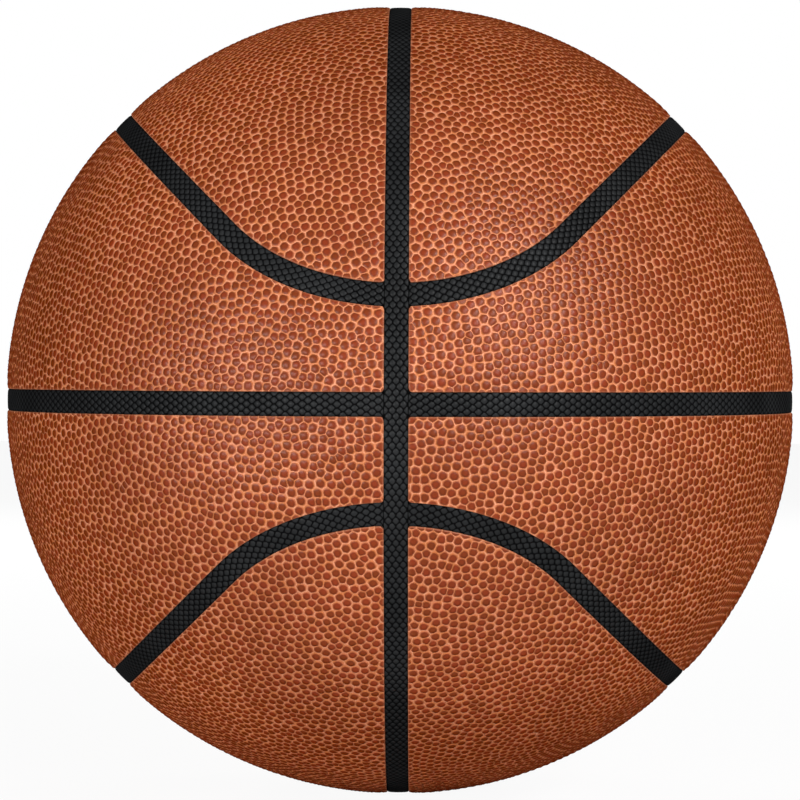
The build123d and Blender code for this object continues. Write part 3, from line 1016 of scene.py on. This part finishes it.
class StripSettings(bpy.types.PropertyGroup):
    """Sizes and colours of the seam strips."""

    scale_pitch: size("Scale pitch", "From one scale to the next along a strip", 3.1)
    scale_row: size("Row step", "From one row of scales to the next", 0.98)
    scale_length: size("Scale length", "Length of a scale's top along a strip", 2.6)
    scale_width: size("Scale width", "Width of a scale's top across a strip", 1.5)
    scale_height: size("Scale height", "From the grooves to the scales' tops", 0.2)
    strip_crown: size("Crown", "How far a strip sinks from its middle to its edges", 0.1)
    strip_round: size("Edge round", "Radius of a strip's edges", 0.15)
    scale_colour: tint("Scales", "Colour of the scales' tops", 40, 41, 42)
    # Darker than the scales' tops as painted shade in the grooves.
    groove_colour: tint("Grooves", "Colour between the scales", 13, 13, 14)


class InnerSettings(bpy.types.PropertyGroup):
    """Colours of the valve and of the layers under the cover."""

    valve_colour: tint("Valve", "Colour of the valve's rubber", 38, 37, 37)
    sponge_colour: tint("Sponge", "Colour of the panels' backings", 206, 199, 184)
    carcass_colour: tint("Carcass", "Colour of the rubber carcass", 58, 55, 52)
    thread_colour: tint("Thread", "Colour of the thread winding", 222, 218, 206)
    bladder_colour: tint("Bladder", "Colour of the bladder", 40, 40, 42)


class StageSettings(bpy.types.PropertyGroup):
    """Camera, floor and lights."""

    camera_distance: size("Camera distance", "From the ball's centre", 780)
    camera_azimuth: angle("Azimuth", "Camera's turn to the right of the front", 0.5)
    camera_elevation: angle("Elevation", "Camera's height as an angle", 0.57)
    camera_roll: angle("Roll", "Camera's roll", 0.19)
    camera_lens: number("Lens", "Focal length in millimetres on a 36 mm sensor", 113.8,
                        subtype="DISTANCE_CAMERA")
    floor_colour: bpy.props.FloatVectorProperty(
        name="Floor", description="Colour of the floor in the light it gives back", default=(0.7, 0.7, 0.7),
        subtype="COLOR", min=0, max=1)
    key_power: power("Key light", "Power of the light from the right and above", 8.0)
    left_power: power("Left light", "Power of the low light from the left", 4.0)
    front_power: power("Front lights", "Power of each of the two lights beside the camera", 8.7)
    back_power: power("Back lights", "Power of each of the two lights behind the ball", 9.0)
    sky_light: number("Room light", "Even light from all around", 0.02)


# Operators

class BASKETBALL_OT_cover_panels(bpy.types.Operator):
    """Build the eight pebbled cover panels"""

    bl_idname = "basketball.cover_panels"
    bl_label = "Cover panels"

    def execute(self, context):
        look = context.scene.basketball_panels
        leather = pebbled_leather(look)
        names = [(row, side) for row in ROWS for side in SIDES]
        for seed, (row, side) in enumerate(names, 1):
            cover_panel(row, side, look, leather, seed)
        return {"FINISHED"}


class BASKETBALL_OT_seam_strips(bpy.types.Operator):
    """Build the seven scaled rubber seam strips"""

    bl_idname = "basketball.seam_strips"
    bl_label = "Seam strips"

    def execute(self, context):
        look = context.scene.basketball_strips
        black = rubber("seam_rubber", look.groove_colour, look.scale_colour)
        upright = SeamChart([(X, pi / 2, -Y, 2 * pi)])
        level = SeamChart([(Z, pi / 2, -Y, pi)])
        curved = curved_seam()
        seam_strip("scaled_strip_vertical", "seam_strip_vertical", upright, look, black, closed=True)
        for side, across in SIDES.items():
            for seam, chart, up in (("upper", curved, 1), ("middle", level, 1), ("lower", curved, -1)):
                seam_strip(f"scaled_strip_{seam}_{side}", f"seam_strip_{seam}_{side}", chart, look, black,
                           (across, 1, up))
        return {"FINISHED"}


class BASKETBALL_OT_valve(bpy.types.Operator):
    """Finish the valve's housing and its core"""

    bl_idname = "basketball.valve"
    bl_label = "Valve"

    def execute(self, context):
        look = context.scene.basketball_inner
        dress("valve_housing", rubber("valve_housing_rubber", look.valve_colour, roughness=0.6))
        dress("valve_core", rubber("valve_core_rubber", look.valve_colour, roughness=0.45, grain=2200.0))
        return {"FINISHED"}


class BASKETBALL_OT_inner_layers(bpy.types.Operator):
    """Finish the backings, the carcass, the thread winding and the bladder"""

    bl_idname = "basketball.inner_layers"
    bl_label = "Inner layers"

    def execute(self, context):
        look = context.scene.basketball_inner
        foam = sponge(look.sponge_colour)
        for row in ROWS:
            for side in SIDES:
                dress(f"panel_backing_{row}_{side}", foam)
        dress("carcass", rubber("carcass_rubber", look.carcass_colour, roughness=0.7))
        dress("thread_winding", wound_thread(look.thread_colour))
        dress("bladder", rubber("bladder_rubber", look.bladder_colour, roughness=0.4, grain=1200.0))
        return {"FINISHED"}


def away_from_front(turn, rise):
    """The direction at a turn to the right of the front and a rise above the level, both in radians."""
    return Vector((sin(turn) * cos(rise), -cos(turn) * cos(rise), sin(rise)))


def area_light(name, turn, rise, side, watts):
    """A square soft light that looks at the ball from an angle in degrees."""
    light = bpy.data.lights.new(name, "AREA")
    light.size, light.energy = side, watts
    lamp = bpy.data.objects.new(name, light)
    away = away_from_front(radians(turn), radians(rise))
    lamp.location = away * LIGHT_DISTANCE
    lamp.rotation_euler = (-away).to_track_quat("-Z", "Y").to_euler()
    bpy.context.scene.collection.objects.link(lamp)


def seen_white(make):
    """1 on rays from the camera, from gloss or through glass, which see the stage as white."""
    path = make.add("ShaderNodeLightPath").outputs
    seen = make.math("MAXIMUM", path["Is Camera Ray"], path["Is Glossy Ray"])
    return make.math("MAXIMUM", seen, path["Is Transmission Ray"])


class BASKETBALL_OT_stage(bpy.types.Operator):
    """Set the floor, the lights and the camera"""

    bl_idname = "basketball.stage"
    bl_label = "Stage"

    def execute(self, context):
        look = context.scene.basketball_stage
        self.floor(look)
        self.room(context.scene, look)
        for name, (turn, rise, side, setting) in LIGHTS.items():
            area_light(name, turn, rise, side, getattr(look, setting))
        self.camera(context.scene, look)
        context.scene.view_settings.view_transform = "Standard"
        return {"FINISHED"}

    def floor(self, look):
        """A wide square under the ball: white to the camera, with a part of its own light and shade."""
        reach, low = FLOOR_REACH, CAD_BOX[0][2]
        corners = [(-reach, -reach, low), (reach, -reach, low), (reach, reach, low), (-reach, reach, low)]
        mesh = bpy.data.meshes.new("floor")
        mesh.from_pydata(corners, [], [(0, 1, 2, 3)])
        material = bpy.data.materials.new("pale_floor")
        material.use_nodes = True
        material.node_tree.nodes.clear()
        make = Nodes(material.node_tree)
        matt = make.add("ShaderNodeBsdfDiffuse", Color=(*colour(look.floor_colour), 1.0)).outputs[0]
        white = make.add("ShaderNodeEmission", Strength=FLOOR_GLOW).outputs[0]
        share = make.math("MULTIPLY", seen_white(make), FLOOR_WHITE)
        make.add("ShaderNodeOutputMaterial", Surface=make.mixed_shader(share, matt, white))
        mesh.materials.append(material)
        plane = bpy.data.objects.new("floor", mesh)
        bpy.context.scene.collection.objects.link(plane)

    def room(self, scene, look):
        """Even light from all around, which shows as plain white."""
        scene.world = bpy.data.worlds.new("white_room")
        scene.world.use_nodes = True
        scene.world.node_tree.nodes.clear()
        make = Nodes(scene.world.node_tree)
        light, white = (
            make.add("ShaderNodeBackground", Color=(1.0, 1.0, 1.0, 1.0), Strength=strength).outputs[0]
            for strength in (look.sky_light, 1.0))
        make.add("ShaderNodeOutputWorld", Surface=make.mixed_shader(seen_white(make), light, white))

    def camera(self, scene, look):
        """Looks at the ball's centre from the front, from its distance times the direction of its angles."""
        lens = bpy.data.cameras.new("camera")
        lens.lens, lens.sensor_width = look.camera_lens, SENSOR_WIDTH
        camera = bpy.data.objects.new("camera", lens)
        away = away_from_front(look.camera_azimuth, look.camera_elevation)
        facing = (-away).to_track_quat("-Z", "Y").to_matrix() @ Matrix.Rotation(look.camera_roll, 3, "Z")
        camera.location = away * look.camera_distance
        camera.rotation_euler = facing.to_euler()
        scene.collection.objects.link(camera)
        scene.camera = camera


class BASKETBALL_PT_looks(bpy.types.Panel):
    """Lists the steps and their settings"""

    bl_idname = "BASKETBALL_PT_looks"
    bl_label = "Basketball"
    bl_space_type = "VIEW_3D"
    bl_region_type = "UI"
    bl_category = "Basketball"

    def draw(self, context):
        for group, steps in STEPS.items():
            box = self.layout.box()
            settings = getattr(context.scene, group)
            for key in settings.__annotations__:
                box.prop(settings, key)
            for step in steps:
                box.operator(step.bl_idname)


SETTINGS = {
    "basketball_panels": PanelSettings,
    "basketball_strips": StripSettings,
    "basketball_inner": InnerSettings,
    "basketball_stage": StageSettings,
}
STEPS = {
    "basketball_panels": [BASKETBALL_OT_cover_panels],
    "basketball_strips": [BASKETBALL_OT_seam_strips],
    "basketball_inner": [BASKETBALL_OT_valve, BASKETBALL_OT_inner_layers],
    "basketball_stage": [BASKETBALL_OT_stage],
}
CLASSES = [*SETTINGS.values(), *(step for steps in STEPS.values() for step in steps), BASKETBALL_PT_looks]


def register():
    for one in CLASSES:
        bpy.utils.register_class(one)
    for name, group in SETTINGS.items():
        setattr(bpy.types.Scene, name, bpy.props.PointerProperty(type=group))


def unregister():
    for name in SETTINGS:
        delattr(bpy.types.Scene, name)
    for one in reversed(CLASSES):
        bpy.utils.unregister_class(one)


def main():
    register()
    bpy.ops.basketball.cover_panels()
    bpy.ops.basketball.seam_strips()
    bpy.ops.basketball.valve()
    bpy.ops.basketball.inner_layers()
    bpy.ops.basketball.stage()


if __name__ == "__main__":
    main()
